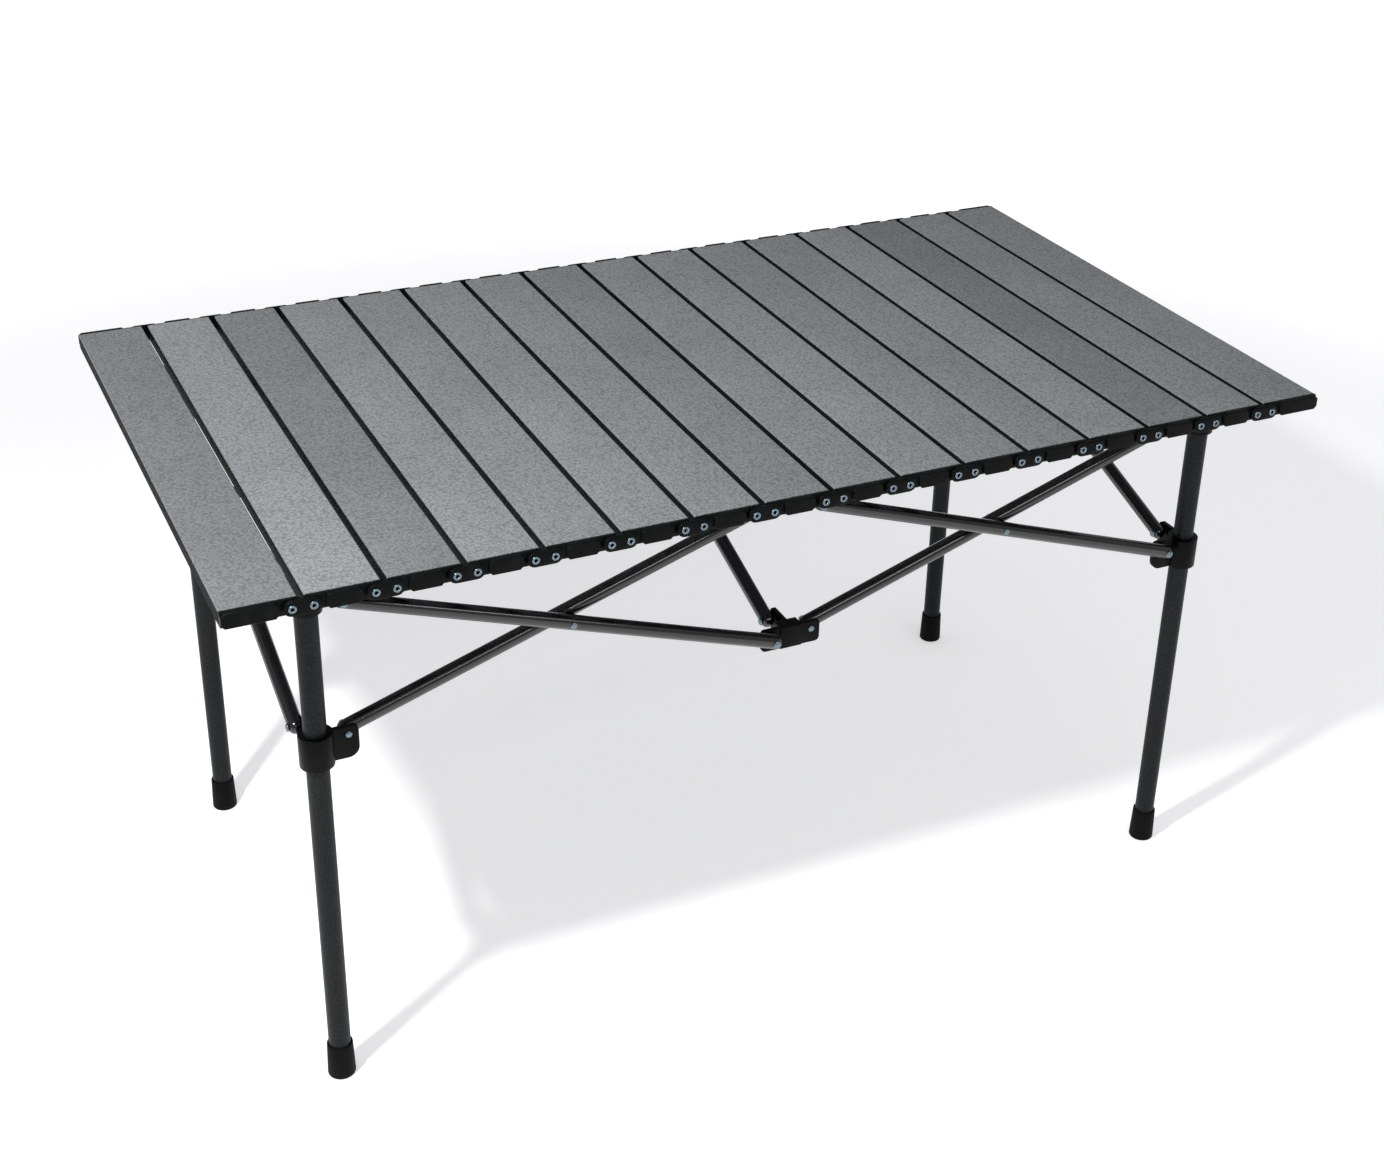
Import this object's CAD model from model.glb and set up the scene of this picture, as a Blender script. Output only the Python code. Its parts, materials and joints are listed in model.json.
"""Looks of a folding picnic table: a roll-up slatted steel top on a scissor-braced tube frame.

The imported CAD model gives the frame. Every class below is one sub-assembly: it holds its sizes, makes its
meshes in the same frame, in metres, and dresses them in a finish.
"""
import json
import logging
import math
from collections.abc import Iterable, Sequence
from dataclasses import dataclass
from enum import Enum
from functools import cached_property

import bmesh
import bpy
from mathutils import Matrix, Vector


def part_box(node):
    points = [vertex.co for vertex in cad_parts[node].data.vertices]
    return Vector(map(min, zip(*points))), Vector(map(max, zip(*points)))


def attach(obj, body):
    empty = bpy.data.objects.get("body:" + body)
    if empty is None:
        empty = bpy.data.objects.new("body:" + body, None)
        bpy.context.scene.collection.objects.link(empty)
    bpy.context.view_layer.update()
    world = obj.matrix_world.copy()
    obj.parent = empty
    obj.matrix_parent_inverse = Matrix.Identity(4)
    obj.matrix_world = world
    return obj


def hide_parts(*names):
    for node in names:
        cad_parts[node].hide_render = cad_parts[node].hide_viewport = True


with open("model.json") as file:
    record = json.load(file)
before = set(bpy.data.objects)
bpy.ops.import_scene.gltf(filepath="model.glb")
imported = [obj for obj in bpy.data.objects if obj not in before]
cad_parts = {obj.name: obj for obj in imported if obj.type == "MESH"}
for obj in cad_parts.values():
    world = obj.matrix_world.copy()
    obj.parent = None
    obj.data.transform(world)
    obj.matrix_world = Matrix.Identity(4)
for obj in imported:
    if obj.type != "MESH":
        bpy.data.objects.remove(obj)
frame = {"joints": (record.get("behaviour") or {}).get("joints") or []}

LOG = logging.getLogger("picnic_table")
MM = 0.001
SLATS = 16

Point = tuple[float, float]
Spot = tuple[float, float, float]
Object = bpy.types.Object
Socket = bpy.types.NodeSocket
Work = bmesh.types.BMesh


class Corner(Enum):
    """A corner of the table: its name in the CAD, and its side of the X and Y axes."""

    FRONT_LEFT = ("front_left", -1, -1)
    FRONT_RIGHT = ("front_right", 1, -1)
    BACK_RIGHT = ("back_right", 1, 1)
    BACK_LEFT = ("back_left", -1, 1)

    @property
    def label(self) -> str:
        """The corner's name in the CAD."""
        return self.value[0]

    @property
    def side(self) -> tuple[int, int]:
        """Signs of X and Y at this corner."""
        return self.value[1], self.value[2]


class Layer(Enum):
    """Which side of the ears a brace runs on."""

    OUTER = "outer"
    INNER = "inner"


class Across(Enum):
    """A scissor that crosses the table: its name, its own side's turn in degrees, and 1 at the legs."""

    LEFT = ("left", -90, 1)
    MIDDLE = ("middle", -90, 0)
    RIGHT = ("right", 90, 1)


# ------------------------------------------------------------------ materials


def linear(hex_colour: str) -> tuple[float, float, float, float]:
    """Turn an sRGB hex colour into the linear colour that the shader takes.

    Args:
        hex_colour: The colour as "#rrggbb".

    Returns:
        Linear red, green, blue and an alpha of 1.
    """
    channels = [int(hex_colour[i : i + 2], 16) / 255 for i in (1, 3, 5)]
    r, g, b = (c / 12.92 if c <= 0.04045 else ((c + 0.055) / 1.055) ** 2.4 for c in channels)
    return r, g, b, 1.0


def add_node(tree: bpy.types.NodeTree, kind: str, links: dict | None = None, **settings) -> bpy.types.Node:
    """Add one node, set its properties and fill its inputs.

    Args:
        tree: The tree that gets the node.
        kind: The node's type name in Blender.
        links: Input name or number to a socket that feeds it or to a plain value.
        **settings: Properties of the node itself.

    Returns:
        The new node.
    """
    node = tree.nodes.new(kind)
    for name, value in settings.items():
        setattr(node, name, value)
    for key, source in (links or {}).items():
        if isinstance(source, Socket):
            tree.links.new(source, node.inputs[key])
        else:
            node.inputs[key].default_value = source
    return node


class Shading:
    """Node tree of one material, with the nodes that the finishes share."""

    def __init__(self, finish: "Finish") -> None:
        """Make the material with its shader.

        Args:
            finish: Gives the name, the main colour and the gloss.
        """
        self.material = bpy.data.materials.new(finish.name)
        self.material.use_nodes = True
        self.material.diffuse_color = linear(finish.colour)
        self.tree = self.material.node_tree
        self.shader = self.tree.nodes["Principled BSDF"]
        self.where = self.add("ShaderNodeTexCoord").outputs["Object"]
        self.feed("Roughness", finish.roughness)
        self.feed("Specular IOR Level", finish.specular)

    def add(self, kind: str, links: dict | None = None, **settings) -> bpy.types.Node:
        """Add a node to the tree."""
        return add_node(self.tree, kind, links, **settings)

    def feed(self, name: str, source: Socket | float | Sequence[float]) -> None:
        """Give the shader one of its inputs.

        Args:
            name: Name of the input.
            source: A socket that feeds it, or its constant.
        """
        if isinstance(source, Socket):
            self.tree.links.new(source, self.shader.inputs[name])
        else:
            self.shader.inputs[name].default_value = source

    def noise(self, scale: float, detail: float, distortion: float = 0.0, output: str = "Fac") -> Socket:
        """Noise in the table's own metres."""
        return self.add("ShaderNodeTexNoise", {"Vector": self.where, "Scale": scale, "Detail": detail,
                                               "Distortion": distortion}).outputs[output]

    def cells(self, size_mm: float, smoothness: float, where: Socket | None = None) -> Socket:
        """Distance from the middle of the nearest cell, for cells of a real size."""
        return self.add("ShaderNodeTexVoronoi", {
            "Vector": self.where if where is None else where, "Scale": 1 / (size_mm * MM),
            "Smoothness": smoothness}, feature="SMOOTH_F1").outputs["Distance"]

    def remap(self, value: Socket, source: Point, result: Point = (0.0, 1.0), **settings) -> Socket:
        """Carry a value from one range over to another."""
        return self.add("ShaderNodeMapRange", {
            "Value": value, "From Min": source[0], "From Max": source[1], "To Min": result[0],
            "To Max": result[1]}, **settings).outputs[0]

    def maths(self, kind: str, operation: str, *inputs) -> Socket:
        """First result of a Math or VectorMath node."""
        return self.add(f"ShaderNode{kind}", dict(enumerate(inputs)), operation=operation).outputs[0]

    def blend(self, factor: Socket, low: str, high: str) -> Socket:
        """Blend of two sRGB hex colours."""
        return self.add("ShaderNodeMix", {"Factor": factor, 6: linear(low), 7: linear(high)},
                        data_type="RGBA").outputs[2]

    def bump(self, height: Socket, mm: float, strength: float, under: Socket | None = None) -> Socket:
        """Turn a height from 0 to 1 into a normal.

        Args:
            height: Height of the relief, 0 to 1.
            mm: What a height of 1 stands for.
            strength: Share of the bump that shows.
            under: Normal that this relief lies on.

        Returns:
            The bumped normal.
        """
        links = {"Height": height, "Distance": mm * MM, "Strength": strength}
        if under is not None:
            links["Normal"] = under
        return self.add("ShaderNodeBump", links).outputs["Normal"]


@dataclass(frozen=True)
class Finish:
    """A surface as made: its colours, its gloss and the size of its texture.

    Attributes:
        name: What the real material is.
        slot: The record's material slot that it stands for.
        colour: Main colour, sRGB hex.
        second: Colour of the recesses or wear, sRGB hex.
        roughness: Roughness of the smooth surface.
        cell_mm: Size of one bump of the texture.
        relief_mm: Height of the texture.
        specular: Strength of the clear reflection, 0.5 for a plain dielectric.
    """

    name: str
    slot: str
    colour: str
    second: str
    roughness: float
    cell_mm: float
    relief_mm: float
    specular: float = 0.5

    @cached_property
    def material(self) -> bpy.types.Material:
        """The material, built when it is first asked for."""
        look = Shading(self)
        self.dress(look)
        return look.material

    @property
    def per_cell(self) -> float:
        """Bumps of the texture in one metre."""
        return 1 / (self.cell_mm * MM)

    def dress(self, look: Shading) -> None:
        """Add what makes this finish look as it does."""
        raise NotImplementedError


@dataclass(frozen=True)
class TexturedPowderCoat(Finish):
    """Textured powder coat on sheet steel, baked into small round pebbles.

    It gives the eye a mid grey that glitters softly: each pebble catches the light on one side.
    """

    def dress(self, look: Shading) -> None:
        """Lay the pebbles, lighter on their crowns, and take tone and gloss out of the gap walls.

        Args:
            look: The material in work.
        """
        warp = look.noise(0.45 * self.per_cell, 2.0, output="Color")
        shift = look.maths("VectorMath", "MULTIPLY", warp, (self.cell_mm * MM,) * 3)
        moved = look.maths("VectorMath", "ADD", look.where, shift)
        crown = look.remap(look.cells(self.cell_mm, 0.6, moved), (0.15, 0.75), (1.0, 0.0))
        batch = look.add("ShaderNodeAttribute", attribute_name="tone", attribute_type="GEOMETRY")
        tone = batch.outputs["Fac"]
        drift = look.remap(look.noise(11.0, 3.0), (0.3, 0.7), (0.93, 1.07))
        level = look.maths("Math", "MULTIPLY", tone, drift)
        pebbles = look.blend(crown, self.second, self.colour)
        base = look.add("ShaderNodeVectorMath", {0: pebbles, "Scale": level}, operation="SCALE")
        look.feed("Base Color", base.outputs[0])
        look.feed("Specular IOR Level", look.remap(tone, (0.2, 0.6), (0.02, self.specular)))
        look.feed("Roughness", look.remap(crown, (0.0, 1.0), (self.roughness + 0.12, self.roughness - 0.05)))
        grit = look.bump(look.noise(3.2 * self.per_cell, 2.0), self.relief_mm * 0.5, 0.6)
        look.feed("Normal", look.bump(crown, self.relief_mm, 0.85, grit))


@dataclass(frozen=True)
class HammeredCoat(Finish):
    """Hammered charcoal powder coat on steel tube.

    It gives the eye a dark, slightly green grey whose highlight breaks up into small dimples.
    """

    def dress(self, look: Shading) -> None:
        """Add the dimples and the flecks.

        Args:
            look: The material in work.
        """
        fleck = look.noise(1.6 * self.per_cell, 3.0)
        look.feed("Base Color", look.blend(look.remap(fleck, (0.42, 0.66)), self.colour, self.second))
        fine = look.bump(fleck, self.relief_mm * 0.4, 0.5)
        look.feed("Normal", look.bump(look.cells(self.cell_mm, 0.5), self.relief_mm, 0.8, fine))


@dataclass(frozen=True)
class GlossPaint(Finish):
    """Gloss paint on steel tube.

    It gives the eye deep black with a sharp bright line along the tube, and a little orange peel.
    """

    def dress(self, look: Shading) -> None:
        """Add the clear gloss, faint orange peel and dust.

        Args:
            look: The material in work.
        """
        for name, value in (("Coat Weight", 1.0), ("Coat IOR", 1.6), ("Coat Roughness", 0.15)):
            look.feed(name, value)
        dust = look.remap(look.noise(60.0, 5.0), (0.45, 0.8))
        look.feed("Base Color", look.blend(dust, self.colour, self.second))
        look.feed("Normal", look.bump(look.noise(self.per_cell, 1.0), self.relief_mm, 0.5))


@dataclass(frozen=True)
class MouldedPolymer(Finish):
    """Injection-moulded nylon or rubber with the fine grain of a spark-eroded mould.

    It gives the eye a soft black whose edges and flats show as faint grey sheens.
    """

    def dress(self, look: Shading) -> None:
        """Add the grain, and scuffs that are paler and duller.

        Args:
            look: The material in work.
        """
        scuff = look.noise(90.0, 4.0, 0.6)
        look.feed("Base Color", look.blend(look.remap(scuff, (0.5, 0.8)), self.colour, self.second))
        look.feed("Roughness", look.remap(scuff, (0.0, 1.0), (self.roughness - 0.06, self.roughness + 0.1)))
        look.feed("Normal", look.bump(look.noise(self.per_cell, 2.0), self.relief_mm, 0.7))


@dataclass(frozen=True)
class ZincPlate(Finish):
    """Bright zinc plate on a formed steel rivet.

    It gives the eye a cool silver glint, duller where the head was rolled.
    """

    def dress(self, look: Shading) -> None:
        """Add the metal's fine forming marks.

        Args:
            look: The material in work.
        """
        look.feed("Metallic", 1.0)
        marks = look.noise(self.per_cell, 3.0)
        look.feed("Base Color", look.blend(marks, self.colour, self.second))
        look.feed("Roughness", look.remap(marks, (0.0, 1.0), (self.roughness - 0.08, self.roughness + 0.12)))
        look.feed("Normal", look.bump(marks, self.relief_mm, 0.4))


@dataclass(frozen=True)
class StudioFloor(Finish):
    """Matt white studio floor, lit from below as a light table is, so that shadows on it stay pale.

    Attributes:
        glow: Strength of the light from below, near the table.
        surround: Its strength far from the table.
        reach: Where it starts and ends to grow, in metres from the middle.
    """

    glow: float = 0.45
    surround: float = 0.95
    reach: Point = (1.35, 2.3)

    def dress(self, look: Shading) -> None:
        """Add the light from below, stronger far away.

        Args:
            look: The material in work.
        """
        look.feed("Base Color", linear(self.colour))
        look.feed("Emission Color", linear(self.second))
        away = look.add("ShaderNodeVectorMath", {0: look.where}, operation="LENGTH").outputs["Value"]
        look.feed("Emission Strength", look.remap(away, self.reach, (self.glow, self.surround),
                                                  interpolation_type="SMOOTHSTEP"))


SLAT_COAT = TexturedPowderCoat("textured_powder_coat_steel", "slat_steel", "#858789", "#656769",
                               0.5, 2.1, 0.36)
LEG_COAT = HammeredCoat("hammered_powder_coat_steel", "leg_steel", "#121415", "#202426",
                        0.42, 2.2, 0.17, 0.12)
BRACE_PAINT = GlossPaint("gloss_paint_steel", "brace_steel", "#030304", "#090a0b", 0.4, 4.0, 0.03, 0.06)
CAP_NYLON = MouldedPolymer("moulded_nylon", "cap_plastic", "#060707", "#111213", 0.4, 0.8, 0.05, 0.07)
LINK_NYLON = MouldedPolymer("moulded_nylon_link", "link_plastic", "#050606", "#101112",
                            0.38, 0.8, 0.05, 0.07)
JOINT_PLASTIC = MouldedPolymer("moulded_polypropylene", "joint_plastic", "#040505", "#0d0e0f", 0.34, 0.9,
                               0.05, 0.08)
FOOT_RUBBER = MouldedPolymer("moulded_rubber", "foot_rubber", "#080808", "#131313", 0.62, 1.2, 0.08, 0.08)
RIVET_ZINC = ZincPlate("zinc_plated_steel", "rivet_zinc", "#8698a2", "#56636c", 0.3, 0.7, 0.03)
FLOOR_PAPER = StudioFloor("studio_floor", "", "#f2f2f2", "#f8f8f8", 0.9, 1.0, 0.0, 0.15)


# ------------------------------------------------------------------ mesh building


def skin(rings: Sequence[Sequence[Vector]], closed_loop: bool = False) -> Work:
    """Cover a row of rings with a skin.

    Args:
        rings: Rings of equally many points.
        closed_loop: True joins the last ring to the first, as on a tube with a bore. Otherwise the two
            end rings are closed with a face.

    Returns:
        A mesh in work.
    """
    bm = bmesh.new()
    made = [[bm.verts.new(p) for p in ring] for ring in rings]
    count = len(made[0])
    pairs = list(zip(made, made[1:])) + ([(made[-1], made[0])] if closed_loop else [])
    for low, high in pairs:
        for k in range(count):
            n = (k + 1) % count
            bm.faces.new((low[k], low[n], high[n], high[k]))
    if not closed_loop:
        bm.faces.new(list(reversed(made[0])))
        bm.faces.new(made[-1])
    return bm


def turned(profile: Sequence[Point], place: Matrix = Matrix.Identity(4), segments: int = 48,
           closed_loop: bool = False) -> Work:
    """Turn a profile round the Z axis of a place.

    Args:
        profile: Radius and height of each ring, in metres.
        place: Where the turned shape's axis and origin are.
        segments: Faces round the axis.
        closed_loop: True for a shape with a bore.

    Returns:
        A mesh in work.
    """
    turns = [2 * math.pi * k / segments for k in range(segments)]
    return skin([[place @ Vector((r * math.cos(t), r * math.sin(t), z)) for t in turns] for r, z in profile],
                closed_loop)


def box(low: Spot, high: Spot, place: Matrix = Matrix.Identity(4)) -> Work:
    """A box between two corners, set at a place."""
    (x0, y0, z0), (x1, y1, z1) = low, high
    return skin([[place @ Vector((x, y, z)) for x, y in ((x0, y0), (x1, y0), (x1, y1), (x0, y1))]
                 for z in (z0, z1)])


def arc(centre: Point, radius: float, start: float, end: float, steps: int) -> list[Point]:
    """Points on an arc, from one angle in degrees to another."""
    angles = [math.radians(start + (end - start) * k / steps) for k in range(steps + 1)]
    return [(centre[0] + radius * math.cos(a), centre[1] + radius * math.sin(a)) for a in angles]


def rounded(corners: Sequence[Spot], steps: int) -> list[Point]:
    """Round the corners of a convex outline.

    Args:
        corners: X, Z and radius of each corner, anticlockwise.
        steps: Segments in each arc.

    Returns:
        The outline's points.
    """
    outline: list[Point] = []
    count = len(corners)
    for i, (x, z, r) in enumerate(corners):
        here = Vector((x, z))
        if r <= 0:
            outline.append((x, z))
            continue
        before = (Vector(corners[i - 1][:2]) - here).normalized()
        after = (Vector(corners[(i + 1) % count][:2]) - here).normalized()
        half = before.angle(after) / 2
        centre = here + (before + after).normalized() * (r / math.sin(half))
        first, last = here + before * (r / math.tan(half)), here + after * (r / math.tan(half))
        a0, a1 = (math.degrees(math.atan2(*reversed(p - centre))) for p in (first, last))
        outline += arc((centre.x, centre.y), r, a0, a1 + 360 if a1 < a0 else a1, steps)
    return outline


def slab(outline: Sequence[Point], layers: Sequence[Point], place: Matrix = Matrix.Identity(4)) -> Work:
    """Build a slab whose outline lies in the XZ plane and whose thickness runs along Y.

    Args:
        outline: The outline's points, anticlockwise seen from -Y.
        layers: Y of each layer and how far its outline is drawn in towards its middle.
        place: Where the slab goes.

    Returns:
        A mesh in work.
    """
    xs, zs = zip(*outline)
    mid_x, mid_z = (min(xs) + max(xs)) / 2, (min(zs) + max(zs)) / 2
    half_x, half_z = max(xs) - mid_x, max(zs) - mid_z
    rings = []
    for y, inset in layers:
        sx, sz = 1 - inset / half_x, 1 - inset / half_z
        rings.append([place @ Vector((mid_x + (x - mid_x) * sx, y, mid_z + (z - mid_z) * sz))
                      for x, z in outline])
    return skin(rings)


def linked(name: str, data: bpy.types.ID) -> Object:
    """Put new data into the scene.

    Args:
        name: Name of the object.
        data: Its mesh, light or camera.

    Returns:
        The new object, at the origin.
    """
    made = bpy.data.objects.new(name, data)
    bpy.context.scene.collection.objects.link(made)
    return made


def object_of(name: str, bm: Work) -> Object:
    """Turn a mesh in work into an object with every face outwards.

    Args:
        name: Name of the object.
        bm: The mesh in work, which is freed.

    Returns:
        The object, at the origin.
    """
    bmesh.ops.remove_doubles(bm, verts=bm.verts, dist=1e-6)
    bmesh.ops.recalc_face_normals(bm, faces=bm.faces)
    mesh = bpy.data.meshes.new(name)
    bm.to_mesh(mesh)
    bm.free()
    return linked(name, mesh)


def applied(obj: Object) -> Object:
    """Turn an object's modifiers into its mesh.

    Args:
        obj: An object with modifiers.

    Returns:
        The same object with a plain mesh and no modifiers.
    """
    bpy.context.view_layer.update()
    graph = bpy.context.evaluated_depsgraph_get()
    mesh = bpy.data.meshes.new_from_object(obj.evaluated_get(graph), depsgraph=graph)
    mesh.name = obj.name
    obj.modifiers.clear()
    obj.data = mesh
    return obj


def soften(obj: Object, width_mm: float, segments: int, angle: float) -> Object:
    """Round an object's sharp edges and apply the bevel.

    Args:
        obj: The object.
        width_mm: Width of the rounding.
        segments: Faces across it.
        angle: Edges sharper than this are rounded, in degrees.

    Returns:
        The same object.
    """
    bevel = obj.modifiers.new("edge_radius", "BEVEL")
    bevel.width = width_mm * MM
    bevel.segments = segments
    bevel.limit_method = "ANGLE"
    bevel.angle_limit = math.radians(angle)
    bevel.use_clamp_overlap = True
    return applied(obj)


def fused(name: str, parts: Iterable[Work], cuts: Iterable[Work] = ()) -> Object:
    """Weld closed shapes into one solid and cut others out of it.

    Args:
        name: Name of the result.
        parts: Shapes that are joined.
        cuts: Shapes that are taken away.

    Returns:
        One object with one closed mesh.
    """
    shapes = [(object_of(f"{name}_part", bm), "UNION") for bm in parts]
    shapes += [(object_of(f"{name}_cut", bm), "DIFFERENCE") for bm in cuts]
    whole = shapes.pop(0)[0]
    for other, kind in shapes:
        step = whole.modifiers.new("weld", "BOOLEAN")
        step.operation, step.solver, step.object = kind, "EXACT", other
    applied(whole)
    discard(*(other for other, _ in shapes))
    whole.name = name
    return whole


def discard(*shapes: Object) -> None:
    """Remove shapes that only served to be copied or welded."""
    for shape in shapes:
        bpy.data.objects.remove(shape)


def finish_piece(obj: Object, body: str, finish: Finish, smooth_angle: float = 32.0) -> None:
    """Dress a finished mesh and tie it to its body, whose CAD node it replaces.

    Args:
        obj: The piece, at the origin.
        body: CAD body that it rides on, and the node of the same name.
        finish: Its finish, which names the material slot.
        smooth_angle: Edges sharper than this stay sharp, in degrees.
    """
    obj.data.materials.clear()
    obj.data.materials.append(finish.material)
    obj.data.shade_smooth()
    obj.data.set_sharp_from_angle(angle=math.radians(smooth_angle))
    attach(obj, body)
    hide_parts(body)
    LOG.info("%s: %d faces on %s", obj.name, len(obj.data.polygons), body)


# ------------------------------------------------------------------ geometry nodes


class NodeTool:
    """A Geometry Nodes tree with named inputs, run on an object and turned into its mesh."""

    def __init__(self, name: str, inputs: dict[str, str]) -> None:
        """Start the tree.

        Args:
            name: Name of the tree.
            inputs: Name of each input and the type of its socket. Material comes by itself.
        """
        self.tree = bpy.data.node_groups.new(name, "GeometryNodeTree")
        face = self.tree.interface
        face.new_socket("Geometry", in_out="INPUT", socket_type="NodeSocketGeometry")
        self.keys = {key: face.new_socket(key, in_out="INPUT", socket_type=f"NodeSocket{kind}").identifier
                     for key, kind in (inputs | {"Material": "Material"}).items()}
        face.new_socket("Geometry", in_out="OUTPUT", socket_type="NodeSocketGeometry")
        self.source = self.tree.nodes.new("NodeGroupInput")

    def input(self, name: str) -> Socket:
        """The socket of a named input."""
        return self.source.outputs[name]

    def add(self, kind: str, links: dict | None = None, **settings) -> bpy.types.Node:
        """Add a Geometry Nodes node to the tree."""
        return add_node(self.tree, f"GeometryNode{kind}", links, **settings)

    def times(self, value: Socket, factor: float) -> Socket:
        """A socket's value times a number."""
        return add_node(self.tree, "ShaderNodeMath", {0: value, 1: factor}, operation="MULTIPLY").outputs[0]

    def vector(self, x: Socket | float, y: Socket | float = 0.0) -> Socket:
        """A vector in the XY plane from two sockets or numbers."""
        return add_node(self.tree, "ShaderNodeCombineXYZ", {0: x, 1: y}).outputs[0]

    def close(self, geometry: Socket) -> None:
        """End the tree in Realize Instances and Set Material.

        Args:
            geometry: What the tree has made.
        """
        real = self.add("RealizeInstances", {"Geometry": geometry})
        dressed = self.add("SetMaterial", {"Geometry": real.outputs[0], "Material": self.input("Material")})
        out = self.tree.nodes.new("NodeGroupOutput")
        self.tree.links.new(dressed.outputs[0], out.inputs[0])

    def run(self, obj: Object, **values) -> Object:
        """Run the tree on an object and keep the result as its mesh.

        Args:
            obj: Object whose mesh goes in.
            **values: Value of each named input.

        Returns:
            The same object with a plain mesh.
        """
        step = obj.modifiers.new("tool", "NODES")
        step.node_group = self.tree
        for name, value in values.items():
            step[self.keys[name]] = value
        return applied(obj)


def folded_channel_tool() -> NodeTool:
    """Tree for a slat: sheet metal folded into a channel that is open below.

    Returns:
        The tool, with inputs for the slat's width, length, height, sheet, corner and place.
    """
    sizes = dict.fromkeys(("Width", "Length", "Height", "Sheet", "Corner"), "Float")
    tool = NodeTool("folded_channel", sizes | {"Centre": "Vector"})
    right, height = tool.times(tool.input("Width"), 0.5), tool.input("Height")
    left = tool.times(right, -1.0)
    section = tool.add("CurvePrimitiveQuadrilateral", {
        "Point 1": tool.vector(left, height), "Point 2": tool.vector(left), "Point 3": tool.vector(right),
        "Point 4": tool.vector(right, height)}, mode="POINTS")
    opened = tool.add("SetSplineCyclic", {"Geometry": section.outputs[0], "Cyclic": False})
    bent = tool.add("FilletCurve", {"Curve": opened.outputs[0], "Count": 6, "Radius": tool.input("Corner")},
                    mode="POLY")
    half = tool.times(tool.input("Length"), 0.5)
    rail = tool.add("CurvePrimitiveLine", {"Start": tool.vector(0.0, tool.times(half, -1.0)),
                                           "End": tool.vector(0.0, half)})
    level = tool.add("SetCurveNormal", {"Curve": rail.outputs[0]}, mode="Z_UP")
    outside = tool.add("CurveToMesh", {"Curve": level.outputs[0], "Profile Curve": bent.outputs[0]})
    walls = tool.add("ExtrudeMesh", {"Mesh": outside.outputs[0], "Individual": False,
                                     "Offset Scale": tool.times(tool.input("Sheet"), -1.0)}, mode="FACES")
    inside = tool.add("FlipFaces", {"Mesh": walls.outputs[0]})
    both = tool.add("JoinGeometry")
    for part in (outside, inside):
        tool.tree.links.new(part.outputs[0], both.inputs[0])
    welded = tool.add("MergeByDistance", {"Geometry": both.outputs[0], "Distance": 1e-6})
    placed = tool.add("Transform", {"Geometry": welded.outputs[0], "Translation": tool.input("Centre")})
    tool.close(placed.outputs[0])
    return tool


def copies_tool() -> NodeTool:
    """Tree that sets one copy of a shape on each point, turned as the point's own "turn" says.

    Returns:
        The tool, with an input for the shape.
    """
    tool = NodeTool("copies_on_points", {"Shape": "Object"})
    shape = tool.add("ObjectInfo", {"Object": tool.input("Shape")}, transform_space="ORIGINAL")
    turn = tool.add("InputNamedAttribute", {"Name": "turn"}, data_type="FLOAT_VECTOR")
    rotation = add_node(tool.tree, "FunctionNodeEulerToRotation", {0: turn.outputs[0]})
    points = tool.add("MeshToPoints", {"Mesh": tool.source.outputs[0]})
    spread = tool.add("InstanceOnPoints", {"Points": points.outputs[0], "Instance": shape.outputs["Geometry"],
                                           "Rotation": rotation.outputs[0]})
    tool.close(spread.outputs[0])
    return tool


FOLDED_CHANNEL = folded_channel_tool()
COPIES = copies_tool()


def copies(name: str, body: str, shape: Object, places: Sequence[tuple[Vector, Spot]], finish: Finish,
           smooth_angle: float = 32.0) -> None:
    """Set a shape at each place, as one finished piece.

    Args:
        name: Name of the piece.
        body: CAD body that it rides on.
        shape: The shape to copy, built at the origin.
        places: Position of each copy and its turn, as XYZ angles.
        finish: Finish of the copies.
        smooth_angle: Edges sharper than this stay sharp, in degrees.
    """
    mesh = bpy.data.meshes.new(name)
    mesh.from_pydata([tuple(spot) for spot, _ in places], [], [])
    turn = mesh.attributes.new("turn", "FLOAT_VECTOR", "POINT")
    for item, (_, angles) in zip(turn.data, places):
        item.vector = angles
    piece = COPIES.run(linked(name, mesh), Shape=shape, Material=finish.material)
    finish_piece(piece, body, finish, smooth_angle)


# ------------------------------------------------------------------ the table's own places


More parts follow.
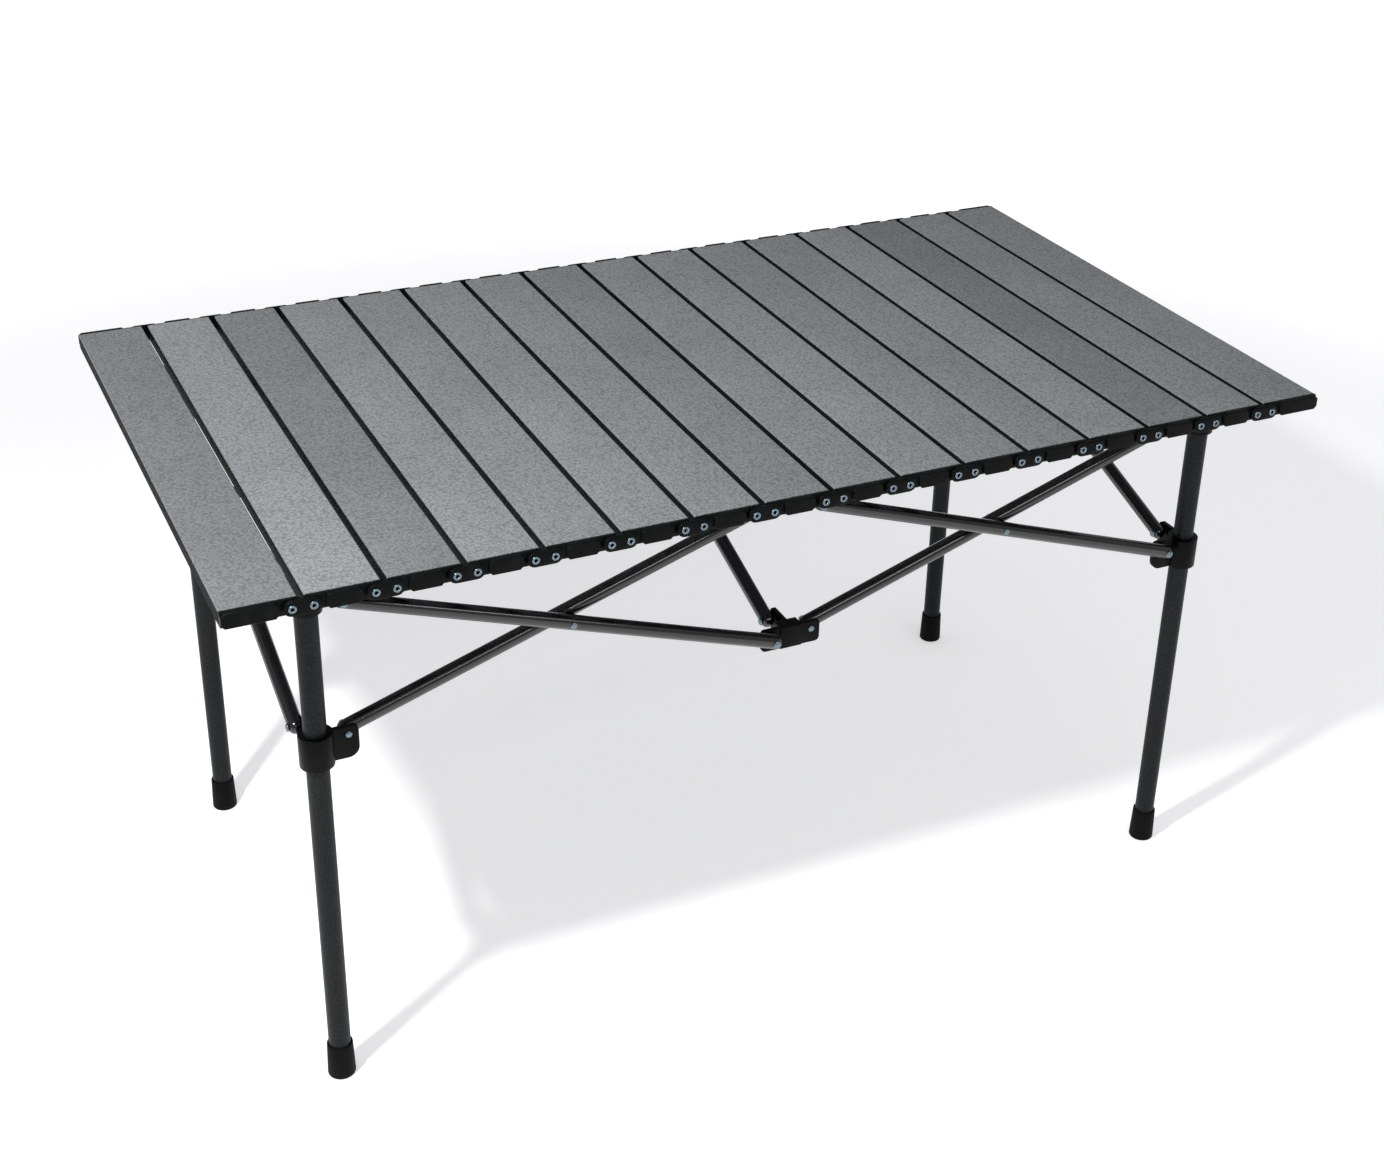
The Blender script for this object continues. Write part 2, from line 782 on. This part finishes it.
@dataclass(frozen=True)
class Layout:
    """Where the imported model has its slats, legs and pivots, in metres."""

    leg_x: float
    leg_y: float
    leg_pivot: float
    hub_pivot: float
    upper_z: float
    lower_z: float
    rivet_z: float
    top_z: float
    slat_width: float
    slat_pitch: float
    slat_bottom: float
    plate_face: float

    @classmethod
    def read(cls) -> "Layout":
        """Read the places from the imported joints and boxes.

        Returns:
            The layout.
        """
        spot = {j["name"]: j.get("pos_m") for j in frame["joints"]}
        leg_x = -spot["fold_left_inner"][0]
        first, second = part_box("slat_01"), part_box("slat_02")
        return cls(leg_x=leg_x, leg_y=-spot["stand_front_left"][1],
                   leg_pivot=spot["stand_front_left"][0] + leg_x, hub_pivot=-spot["frame_fold"][0],
                   upper_z=spot["frame_fold"][2], lower_z=spot["drop_hub_low_front"][2],
                   rivet_z=spot["top_roll"][2], top_z=first[1].z, slat_width=first[1].x - first[0].x,
                   slat_pitch=second[0].x - first[0].x, slat_bottom=first[0].z, plate_face=-first[0].y)

    @property
    def span(self) -> float:
        """Distance between the pivots of one scissor."""
        return self.leg_x - self.leg_pivot - self.hub_pivot

    @property
    def brace_angle(self) -> float:
        """Slope of every brace, in radians."""
        return math.atan2(self.upper_z - self.lower_z, self.span)

    @property
    def brace_length(self) -> float:
        """Distance between a brace's end pivots."""
        return math.hypot(self.span, self.upper_z - self.lower_z)

    def slat_x(self, number: float) -> float:
        """Middle of a slat, counted from 1 at the left; a half stands for a gap."""
        return (number - (SLATS + 1) / 2) * self.slat_pitch

    def at_corner(self, corner: Corner) -> Matrix:
        """Place of something built at a leg's axis with its ears towards +X and +Y."""
        sx, sy = corner.side
        return Matrix.Translation((sx * self.leg_x, sy * self.leg_y, 0)) @ Matrix.Diagonal((-sx, -sy, 1, 1))


# ------------------------------------------------------------------ tabletop


@dataclass
class Tabletop:
    """Sixteen folded steel slats with a moulded cap in each end, hinged by riveted links.

    Sizes are in millimetres. tones says how light each slat's batch of coat came out, and side_tone how
    much of that is left on the walls of the gaps.
    """

    layout: Layout
    tones: tuple[float, ...] = (0.88, 1.15, 0.86, 1.09, 1.03, 1.08, 1.03, 0.93,
                                1.04, 1.1, 1.01, 1.02, 1.13, 0.82, 1.02, 1.02)
    side_tone: float = 0.04
    sheet: float = 0.8
    corner: float = 1.5
    steel_end: float = 262.15
    cap_face: float = 264.7
    cap_drop: float = 0.4
    cap_gap: float = 0.05
    cap_rounding: float = 0.45
    plug_depth: float = 12.0
    bar_half: float = 13.2
    bar_chamfer: float = 2.6
    bar_lip: float = 0.5
    bar_sunk: float = 0.6
    overlap: float = 0.4
    link_radius: float = 6.2
    link_back: float = 265.0
    link_pitch: float = 15.3
    link_bore: float = 2.0
    link_rounding: float = 0.2
    web_half: float = 1.5
    web_depth: float = 12.0
    web_below: float = 5.5
    web_above: float = 0.5
    rivet_head: float = 3.2
    rivet_rim: float = 0.9
    rivet_bore: float = 1.3
    rivet_hollow: float = 3.6
    rivet_shank: float = 1.95
    rivet_length: float = 11.5

    def build(self) -> None:
        """Build the slats with their caps, then the links with their rivets."""
        kinds = {(left, right): self.cap_shape(left, right) for left, right in ((1, 1), (0, 1), (1, 0))}
        for number, tone in enumerate(self.tones, 1):
            self.steel(number, tone)
            self.caps(number, kinds)
        plate, rivet = self.plate_shape(), self.rivet_shape()
        for number in range(1, SLATS):
            self.link(number, plate, rivet)
        discard(plate, rivet, *kinds.values())

    def steel(self, number: int, tone: float) -> None:
        """Build one folded slat.

        Args:
            number: The slat, counted from 1 at the left.
            tone: How light its batch of coat is.
        """
        name, lay = f"slat_{number:02d}", self.layout
        obj = FOLDED_CHANNEL.run(
            linked(f"{name}_steel", bpy.data.meshes.new(name)), Width=lay.slat_width,
            Length=2 * self.steel_end * MM, Height=lay.top_z - lay.slat_bottom, Sheet=self.sheet * MM,
            Corner=self.corner * MM, Centre=(lay.slat_x(number), 0.0, lay.top_z), Material=SLAT_COAT.material)
        shade = obj.data.attributes.new("tone", "FLOAT", "POINT")
        bend = lay.top_z - (self.corner - 0.1) * MM
        for item, vertex in zip(shade.data, obj.data.vertices):
            item.value = tone if vertex.co.z > bend else tone * self.side_tone
        finish_piece(obj, name, SLAT_COAT)

    def cap_shape(self, has_left: int, has_right: int) -> Object:
        """Build the front cap of a slat centred on X = 0.

        Args:
            has_left: 1 where a link is on the left, which ends the raised bar short of the edge.
            has_right: 1 where a link is on the right.

        Returns:
            The cap: its plate, its plug and its raised bar in one solid.
        """
        lay, gap = self.layout, self.cap_gap * MM
        half, wall = lay.slat_width / 2, self.sheet * MM + 2 * gap
        low, high = lay.slat_bottom + self.cap_drop * MM, lay.top_z - self.cap_drop * MM
        face, end = -self.cap_face * MM, -self.steel_end * MM
        left = -self.bar_half * MM if has_left else -half
        right = self.bar_half * MM if has_right else half
        cut, lip, front = self.bar_chamfer * MM, self.bar_lip * MM, -lay.plate_face
        outline = [(left + cut, low), (right - cut, low), (right, low + cut), (right, high - cut),
                   (right - cut, high), (left + cut, high), (left, high - cut), (left, low + cut)]
        bar = slab(outline, [(front, lip), (front + lip, 0.0), (face + self.bar_sunk * MM, 0.0)])
        plate = box((-half + gap, face, low), (half - gap, end - gap, high))
        plug = box((wall - half, end - self.overlap * MM, low),
                   (half - wall, end + self.plug_depth * MM, lay.top_z - wall))
        return soften(fused("cap_shape", (plate, plug, bar)), self.cap_rounding, 2, 30)

    def caps(self, number: int, kinds: dict[tuple[int, int], Object]) -> None:
        """Set the front and back caps of one slat.

        Args:
            number: The slat, counted from 1 at the left.
            kinds: Cap for each choice of links on its left and right.
        """
        name, spot = f"slat_{number:02d}", Vector((self.layout.slat_x(number), 0, 0))
        left, right = int(number > 1), int(number < SLATS)
        copies(f"{name}_cap_front", name, kinds[left, right], [(spot, (0, 0, 0))], CAP_NYLON)
        copies(f"{name}_cap_back", name, kinds[right, left], [(spot, (0, 0, math.pi))], CAP_NYLON)

    def plate_shape(self) -> Object:
        """Build the front plate of a link centred on X = 0, with its web.

        Returns:
            The plate.
        """
        z, r, reach = self.layout.rivet_z, self.link_radius * MM, self.link_pitch / 2 * MM
        outline = arc((reach, z), r, -90, 90, 14) + arc((-reach, z), r, 90, 270, 14)
        front, back = -self.layout.plate_face, -self.link_back * MM
        plate = slab(outline, [(front, 0.7 * MM), (front + 0.25 * MM, 0.22 * MM), (front + 0.7 * MM, 0.0),
                               (back - 0.3 * MM, 0.0), (back, 0.25 * MM)])
        web = box((-self.web_half * MM, back - self.overlap * MM, z - self.web_below * MM),
                  (self.web_half * MM, back + self.web_depth * MM, z + self.web_above * MM))
        bores = []
        for x in (-reach, reach):
            axis = Matrix.Translation((x, front, z)) @ Matrix.Rotation(math.pi / 2, 4, "X")
            bores.append(turned([(self.link_bore * MM, -4 * MM), (self.link_bore * MM, 1.2 * MM)], axis, 24))
        return soften(fused("link_shape", (plate, web), bores), self.link_rounding, 1, 50)

    def rivet_shape(self) -> Object:
        """Build a tubular rivet along +Z whose head is rolled round a hollow.

        Returns:
            The rivet, with its head's underside at Z = 0.
        """
        head, bore, shank = self.rivet_head, self.rivet_bore, self.rivet_shank
        mid, half = (head + bore) / 2, (head - bore) / 2
        rim = [(mid + half * math.cos(a), 0.1 + self.rivet_rim * math.sin(a) ** 0.7)
               for a in (math.pi * k / 8 for k in range(9))]
        profile = [(1.0, -self.rivet_length), (shank, 0.2 - self.rivet_length), (shank, 0.0),
                   (head - 0.15, 0.0), *rim, (bore, -self.rivet_hollow), (0.4, -self.rivet_hollow)]
        return object_of("link_rivet_shape", turned([(r * MM, z * MM) for r, z in profile], segments=28))

    def link(self, number: int, plate: Object, rivet: Object) -> None:
        """Set the two plates and four rivets of one link.

        Args:
            number: The link, counted from 1 at the left.
            plate: The front plate.
            rivet: A rivet along +Z.
        """
        name, x = f"link_{number:02d}", self.layout.slat_x(number + 0.5)
        both = [(Vector((x, 0, 0)), (0, 0, turn)) for turn in (0, math.pi)]
        copies(f"{name}_plates", name, plate, both, LINK_NYLON, 40)
        spots = [(Vector((x + reach * MM, side * self.layout.plate_face, self.layout.rivet_z)),
                  (math.pi / 2, 0, 0 if side < 0 else math.pi))
                 for side in (-1, 1) for reach in (-self.link_pitch / 2, self.link_pitch / 2)]
        copies(f"{name}_rivets", name, rivet, spots, RIVET_ZINC, 40)


# ------------------------------------------------------------------ frame


@dataclass
class FrameJoints:
    """Moulded sockets, sliders and hubs, each a block with flat ears that the braces pivot on.

    Sizes are in millimetres.
    """

    layout: Layout
    ear_half: float = 2.0
    ear_tip: float = 8.0
    collar: float = 13.5
    collar_corners: Point = (4.0, 9.0)
    socket: float = 12.5
    socket_corners: Point = (4.0, 7.0)
    socket_depth: float = 8.0
    socket_below: float = 7.5
    socket_gap: float = 0.3
    hub_half: float = 10.0
    hub_front: float = 3.0
    hub_corners: Point = (3.0, 4.0)
    slider_below: float = 21.0
    slider_above: float = 7.0
    hub_low_below: float = 13.0
    hub_low_above: float = 7.0
    leg_radius: float = 9.0
    slide_gap: float = 0.3
    press_gap: float = 0.05
    through: float = 100.0
    rounding: float = 0.9

    def build(self) -> None:
        """Build the sliders, the hubs and the sockets."""
        lay = self.layout
        frame_top = lay.slat_bottom - self.socket_gap * MM
        socket_low = lay.upper_z - self.socket_below * MM
        low = lay.lower_z - self.slider_below * MM, lay.lower_z + self.slider_above * MM
        for corner in Corner:
            self.two_eared(f"slider_{corner.label}", "moulding", low, self.collar,
                           (self.leg_radius + self.slide_gap, lay.lower_z + self.through * MM),
                           self.collar_corners, corner)
        for side, label in ((-1, "front"), (1, "back")):
            self.hub(f"hub_top_{label}", (socket_low, frame_top), side)
            self.hub(f"hub_low_{label}", (lay.lower_z - self.hub_low_below * MM,
                                          lay.lower_z + self.hub_low_above * MM), side)
        for corner in Corner:
            self.two_eared(f"leg_{corner.label}", "socket", (socket_low, frame_top), self.socket,
                           (self.leg_radius + self.press_gap, frame_top - self.socket_depth * MM),
                           self.socket_corners, corner)

    def ear(self, reach: float, heights: Point, corners: Point, place: Matrix) -> Work:
        """Build an ear towards +X.

        Args:
            reach: Distance to its rivet, in metres.
            heights: Its lower and its upper edge, in metres.
            corners: Radii of its upper and its lower outer corner.
            place: Where it goes.

        Returns:
            A mesh in work.
        """
        tip, (low, high), (above, below) = reach + self.ear_tip * MM, heights, corners
        outline = rounded([(0.0, low, 0.0), (tip, low, below * MM), (tip, high, above * MM),
                           (0.0, high, 0.0)], 8)
        return slab(outline, [(-self.ear_half * MM, 0.0), (self.ear_half * MM, 0.0)], place)

    def two_eared(self, body: str, part: str, heights: Point, radius: float, bore: Point, corners: Point,
                  corner: Corner) -> None:
        """Build a round block on a leg, with ears towards the two legs beside it.

        Args:
            body: The CAD body.
            part: What the piece is, the last word of its name.
            heights: Its underside and its top, in metres.
            radius: Radius of the block, in millimetres.
            bore: Radius of the bore in millimetres and where it ends, in metres.
            corners: Radii of the ears' upper and lower outer corners.
            corner: The corner that it belongs to.
        """
        place = self.layout.at_corner(corner)
        low, high = heights
        block = turned([(radius * MM, low), (radius * MM, high)], place)
        swap_xy = Matrix(((0, 1, 0, 0), (1, 0, 0, 0), (0, 0, 1, 0), (0, 0, 0, 1)))
        ears = [self.ear(self.layout.leg_pivot, heights, corners, place @ turn)
                for turn in (Matrix.Identity(4), swap_xy)]
        hole = turned([(bore[0] * MM, low - 10 * MM), (bore[0] * MM, bore[1])], place)
        self.mould(body, part, (block, *ears), (hole,))

    def hub(self, body: str, heights: Point, side: int) -> None:
        """Build a hub with ears along the side and one ear inwards.

        Args:
            body: The CAD body.
            heights: Its underside and its top, in metres.
            side: -1 at the front, 1 at the back.
        """
        lay, half, (low, high) = self.layout, self.hub_half * MM, heights
        place = (Matrix.Translation((0, side * lay.leg_y, 0))
                 @ Matrix.Rotation(0 if side < 0 else math.pi, 4, "Z"))
        parts = [box((-half, -self.hub_front * MM, low), (half, half, high), place)]
        ears = ((lay.hub_pivot, 0), (lay.hub_pivot, math.pi), (lay.leg_pivot, math.pi / 2))
        parts += [self.ear(reach, heights, self.hub_corners, place @ Matrix.Rotation(turn, 4, "Z"))
                  for reach, turn in ears]
        self.mould(body, "moulding", parts)

    def mould(self, body: str, part: str, parts: Iterable[Work], cuts: Iterable[Work] = ()) -> None:
        """Weld a moulding, round its edges and finish it.

        Args:
            body: The CAD body.
            part: What the piece is, the last word of its name.
            parts: Shapes that are joined.
            cuts: Shapes that are taken away.
        """
        piece = soften(fused(f"{body}_{part}", parts, cuts), self.rounding, 3, 40)
        finish_piece(piece, body, JOINT_PLASTIC)


@dataclass
class Legs:
    """Four round tubes, each in a rubber foot.

    Sizes are in millimetres.
    """

    layout: Layout
    radius: float = 9.0
    wall: float = 1.2
    edge: float = 0.3
    into_socket: float = 8.4
    seat: float = 0.05
    grip_gap: float = 0.02
    foot_floor: float = 4.0
    foot_height: float = 32.0
    foot_radius: float = 11.5
    foot_top_radius: float = 10.6
    sole_edge: float = 1.8
    rim_edge: float = 1.1

    def build(self) -> None:
        """Build each leg's tube and foot."""
        for corner in Corner:
            name, place = f"leg_{corner.label}", self.layout.at_corner(corner)
            finish_piece(object_of(f"{name}_tube", self.tube(place)), name, LEG_COAT)
            finish_piece(object_of(f"{name}_foot", self.foot(place)), name, FOOT_RUBBER)

    def tube(self, place: Matrix) -> Work:
        """The leg's tube, from the foot's floor into the socket.

        Args:
            place: The leg's corner.

        Returns:
            A mesh in work.
        """
        low, high = (self.foot_floor + self.seat) * MM, self.layout.slat_bottom - self.into_socket * MM
        out, bore, edge = self.radius * MM, (self.radius - self.wall) * MM, self.edge * MM
        profile = [(out - edge, low), (out, low + edge), (out, high - edge), (out - edge, high),
                   (bore + edge, high), (bore, high - edge), (bore, low + edge), (bore + edge, low)]
        return turned(profile, place, 56, True)

    def foot(self, place: Matrix) -> Work:
        """The rubber foot: a cup with a rounded sole and rim.

        Args:
            place: The leg's corner.

        Returns:
            A mesh in work.
        """
        sole, rim, high, grip = self.sole_edge, self.rim_edge, self.foot_height, self.radius + self.grip_gap
        profile = [(2.0, 0.0), *arc((self.foot_radius - sole, sole), sole, -90, -5, 6),
                   *arc((self.foot_top_radius - rim, high - rim), rim, 0, 90, 5), (grip, high - 0.4),
                   (grip, self.foot_floor), (2.0, self.foot_floor)]
        return turned([(r * MM, z * MM) for r, z in profile], place, 56)


@dataclass
class Braces:
    """Fourteen tubes in seven scissors, riveted to the ears and to each other.

    Sizes are in millimetres. head and tail are the radius and height of a rivet's outer and inner dome.
    """

    layout: Layout
    radius: float = 6.25
    ear_half: float = 2.0
    clear: float = 0.3
    seat: float = 0.05
    head: Point = (3.5, 1.6)
    tail: Point = (2.8, 1.2)
    shank: float = 2.3
    washer_bore: float = 3.0
    washer_edge: float = 0.3

    @property
    def lying(self) -> Matrix:
        """Turn that lays an axis along +Z down to -Y."""
        return Matrix.Rotation(math.pi / 2, 4, "X")

    @property
    def layer(self) -> float:
        """Distance from the ears' middle plane to a brace's axis, in millimetres."""
        return self.ear_half + self.clear + self.seat + self.radius

    def build(self) -> None:
        """Build every brace with its rivets and washer."""
        out, ear, lay = -(self.layer + self.radius + self.seat), self.ear_half + self.clear, self.layout
        shapes = {"tube": self.tube_shape(), "outer": self.rivet_shape(out, ear, self.head, self.tail),
                  "cross": self.rivet_shape(out, self.layer + self.radius + self.clear, self.tail, self.tail),
                  "inner": self.rivet_shape(-ear, -out, self.tail, self.head), "washer": self.washer_shape()}
        for corner in Corner:
            sx, sy = corner.side
            x0 = -lay.leg_x + lay.leg_pivot if sx * sy > 0 else lay.hub_pivot
            self.scissor(corner.label, 0 if sy < 0 else math.pi, x0, -lay.leg_y, shapes)
        for across in Across:
            label, turn, at_legs = across.value
            self.scissor(label, math.radians(turn), lay.leg_pivot - lay.leg_y, -at_legs * lay.leg_x, shapes)
        discard(*shapes.values())

    def tube_shape(self) -> Object:
        """Build the tube along X from one pivot to the other, with domed ends.

        Returns:
            The tube, on its own axis.
        """
        r, length = self.radius * MM, self.layout.brace_length
        start = [(r * math.sin(t), -r * math.cos(t)) for t in (math.radians(a) for a in range(9, 91, 9))]
        profile = start + [(radius, length - z) for radius, z in reversed(start)]
        return object_of("brace_shape", turned(profile, Matrix.Rotation(math.pi / 2, 4, "Y"), 40))

    def rivet_shape(self, low: float, high: float, outer: Point, inner: Point) -> Object:
        """Build a rivet along -Y with a dome on each end.

        Args:
            low: Y of the outer dome's underside, in millimetres.
            high: Y of the inner dome's underside.
            outer: Radius and height of the outer dome.
            inner: Radius and height of the inner dome.

        Returns:
            The rivet.
        """
        steps = [math.radians(a) for a in (80, 60, 42, 26, 12, 0)]
        near = [(outer[0] * math.cos(t), -low + 0.1 + (outer[1] - 0.1) * math.sin(t)) for t in steps]
        far = [(inner[0] * math.cos(t), -high - 0.1 - (inner[1] - 0.1) * math.sin(t))
               for t in reversed(steps)]
        profile = [*near, (outer[0] - 0.15, -low), (self.shank, -low), (self.shank, -high),
                   (inner[0] - 0.15, -high), *far]
        return object_of("rivet_shape", turned([(r * MM, z * MM) for r, z in profile], self.lying, 32))

    def washer_shape(self) -> Object:
        """Build the washer between two crossing braces.

        Returns:
            The washer, in the middle of its crossing.
        """
        half = self.layer - self.radius - self.clear
        radius, bore, edge = self.radius, self.washer_bore, self.washer_edge
        ring = [(bore, -half), (radius - edge, -half), (radius, edge - half), (radius, half - edge),
                (radius - edge, half), (bore, half)]
        return object_of("washer_shape", turned([(r * MM, z * MM) for r, z in ring], self.lying, 32, True))

    def scissor(self, label: str, turn: float, x0: float, y: float, shapes: dict[str, Object]) -> None:
        """Set the two braces of one scissor with their rivets and the washer at their crossing.

        Outer braces fall to the right as seen from their own side, inner ones rise.

        Args:
            label: Name of the scissor in the CAD.
            turn: Angle of its side of the table about Z.
            x0: Its left pivots along that side, in metres.
            y: The side's distance from the middle, towards -Y.
            shapes: The shapes to copy.
        """
        lay = self.layout
        for layer in Layer:
            name, sign = f"brace_{label}_{layer.value}", 1 if layer is Layer.OUTER else -1
            place = (Matrix.Rotation(turn, 4, "Z")
                     @ Matrix.Translation((x0, y, lay.upper_z if sign > 0 else lay.lower_z))
                     @ Matrix.Rotation(sign * lay.brace_angle, 4, "Y"))
            angles = tuple(place.to_euler("XYZ"))
            tube = [(place @ Vector((0, -sign * self.layer * MM, 0)), angles)]
            ends = [(place @ Vector((x, 0, 0)), angles) for x in (0.0, lay.brace_length)]
            middle = [(place @ Vector((lay.brace_length / 2, 0, 0)), angles)]
            copies(f"{name}_tube", name, shapes["tube"], tube, BRACE_PAINT)
            copies(f"{name}_end_rivets", name, shapes[layer.value], ends, RIVET_ZINC)
            if layer is Layer.OUTER:
                copies(f"{name}_cross_rivet", name, shapes["cross"], middle, RIVET_ZINC)
                copies(f"{name}_washer", name, shapes["washer"], middle, BRACE_PAINT)


# ------------------------------------------------------------------ studio


@dataclass
class Studio:
    """Pale floor, soft light and the camera. Sizes are in metres, angles in degrees, powers in watts."""

    floor_size: float = 14.0
    key_place: Spot = (-1.0, -0.58, 1.52)
    key_size: Point = (0.12, 0.12)
    key_watts: float = 23.0
    strip_place: Spot = (0.25, -1.7, 1.45)
    strip_size: Point = (2.4, 0.2)
    strip_watts: float = 9.0
    aim: Spot = (0.0, 0.0, 0.35)
    sky_colour: str = "#fbfcff"
    sky_strength: float = 0.40
    camera_place: Spot = (-0.7006, -1.5013, 1.2075)
    heading: float = -26.98
    dip: float = 27.22
    roll: float = 1.91
    lens: float = 53.48
    shift: Point = (-0.0428, -0.0571)

    def build(self) -> None:
        """Set up the floor, the world, the key light at the left, the strip in front and the camera."""
        self.floor()
        self.world()
        self.lamp("key", self.key_place, self.key_size, self.key_watts)
        self.lamp("strip", self.strip_place, self.strip_size, self.strip_watts)
        self.camera()

    def floor(self) -> None:
        """Lay the floor, which isn't part of the table."""
        bm = bmesh.new()
        bmesh.ops.create_grid(bm, x_segments=8, y_segments=8, size=self.floor_size / 2)
        ground = object_of("studio_floor", bm)
        ground.data.materials.append(FLOOR_PAPER.material)

    def world(self) -> None:
        """Fill the room with plain soft light."""
        world = bpy.data.worlds.new("studio")
        bpy.context.scene.world = world
        world.use_nodes = True
        back = world.node_tree.nodes["Background"]
        back.inputs["Color"].default_value = linear(self.sky_colour)
        back.inputs["Strength"].default_value = self.sky_strength
        bpy.context.scene.view_settings.view_transform = "Standard"

    def lamp(self, name: str, place: Spot, size: Point, watts: float) -> None:
        """Hang a soft light that faces the table.

        Args:
            name: The light's name.
            place: Where it hangs.
            size: Width and height of its opening.
            watts: Its power.
        """
        light = bpy.data.lights.new(name, "AREA")
        light.shape = "ELLIPSE"
        light.size, light.size_y = size
        light.energy = watts
        lamp = linked(name, light)
        lamp.location = place
        lamp.rotation_euler = (Vector(self.aim) - Vector(place)).to_track_quat("-Z", "Y").to_euler()

    def camera(self) -> None:
        """Set up the camera."""
        data = bpy.data.cameras.new("camera")
        data.lens = self.lens
        data.sensor_width = 36.0
        data.shift_x, data.shift_y = self.shift
        camera = linked("camera", data)
        camera.matrix_world = (Matrix.Translation(self.camera_place)
                               @ Matrix.Rotation(math.radians(self.heading), 4, "Z")
                               @ Matrix.Rotation(math.radians(90 - self.dip), 4, "X")
                               @ Matrix.Rotation(math.radians(self.roll), 4, "Z"))
        bpy.context.scene.camera = camera


def main() -> None:
    """Build the sub-assemblies in order."""
    logging.basicConfig(level=logging.INFO, format="%(name)s: %(message)s")
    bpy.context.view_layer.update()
    layout = Layout.read()
    for part in (Tabletop(layout), Legs(layout), FrameJoints(layout), Braces(layout), Studio()):
        LOG.info("building %s", type(part).__name__)
        part.build()


if __name__ == "__main__":
    main()
